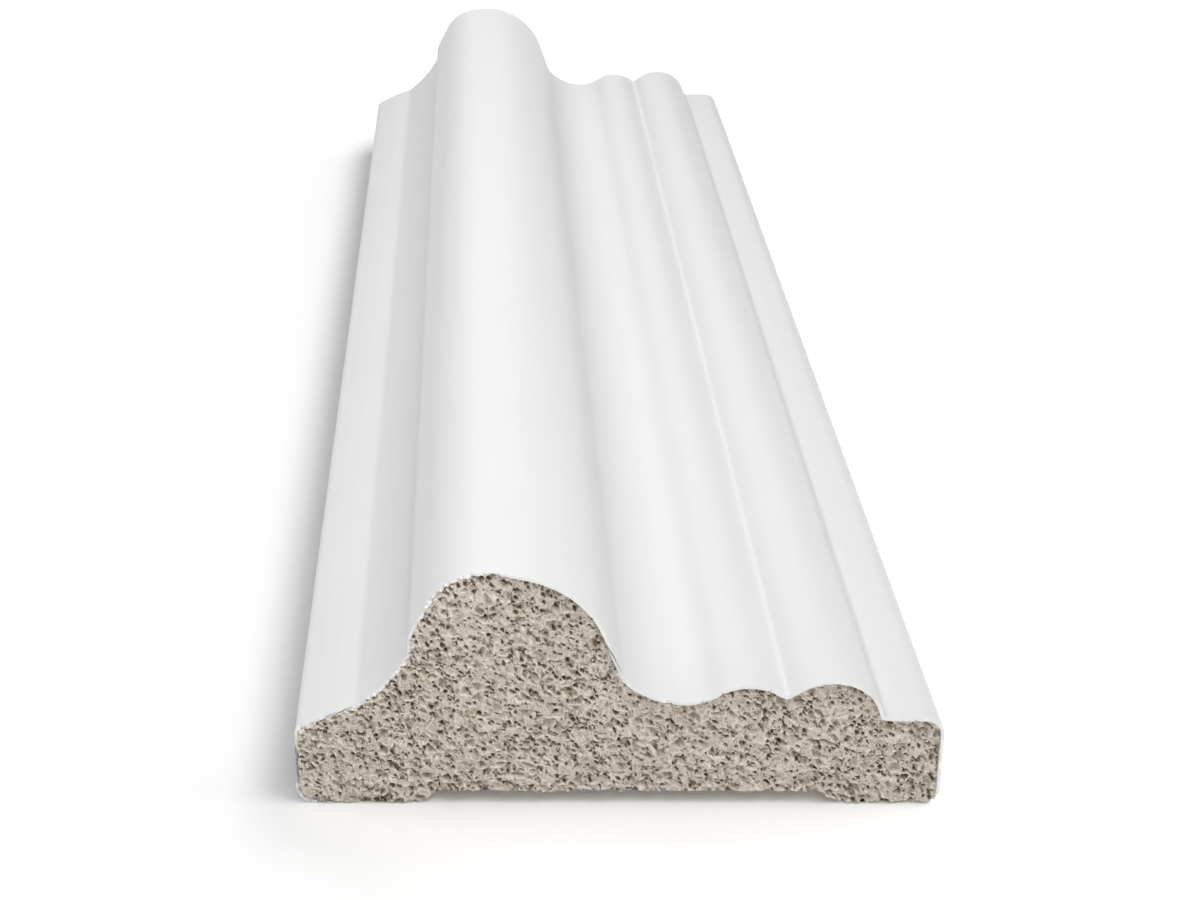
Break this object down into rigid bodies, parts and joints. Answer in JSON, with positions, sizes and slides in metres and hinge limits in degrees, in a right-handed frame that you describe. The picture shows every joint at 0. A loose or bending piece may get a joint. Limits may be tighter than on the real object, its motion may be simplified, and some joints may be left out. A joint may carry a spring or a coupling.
{
  "type": "wall moulding",
  "caption": "Short sawn length of wall moulding with a round crown, coves, beads and a ledge, in rigid foam with a white coat; its relieved back is glued to a wall.",
  "frame": {"origin": "middle of the back, on the plane of the feet that meets the wall, at mid-length and mid-width", "axes": "+Z out of the wall from the back to the crown, +Y along the length, +X across from the shoulder edge to the ledge edge"},
  "size_m": [0.0798, 0.245, 0.0338],
  "materials": {
    "foam": "bare sawn rigid foam, open cells, beige grey",
    "coat": "smooth satin white factory coat"
  },
  "bodies": {
    "root": {"foam_core": "foam", "white_coat": "coat"}
  },
  "joints": []
}
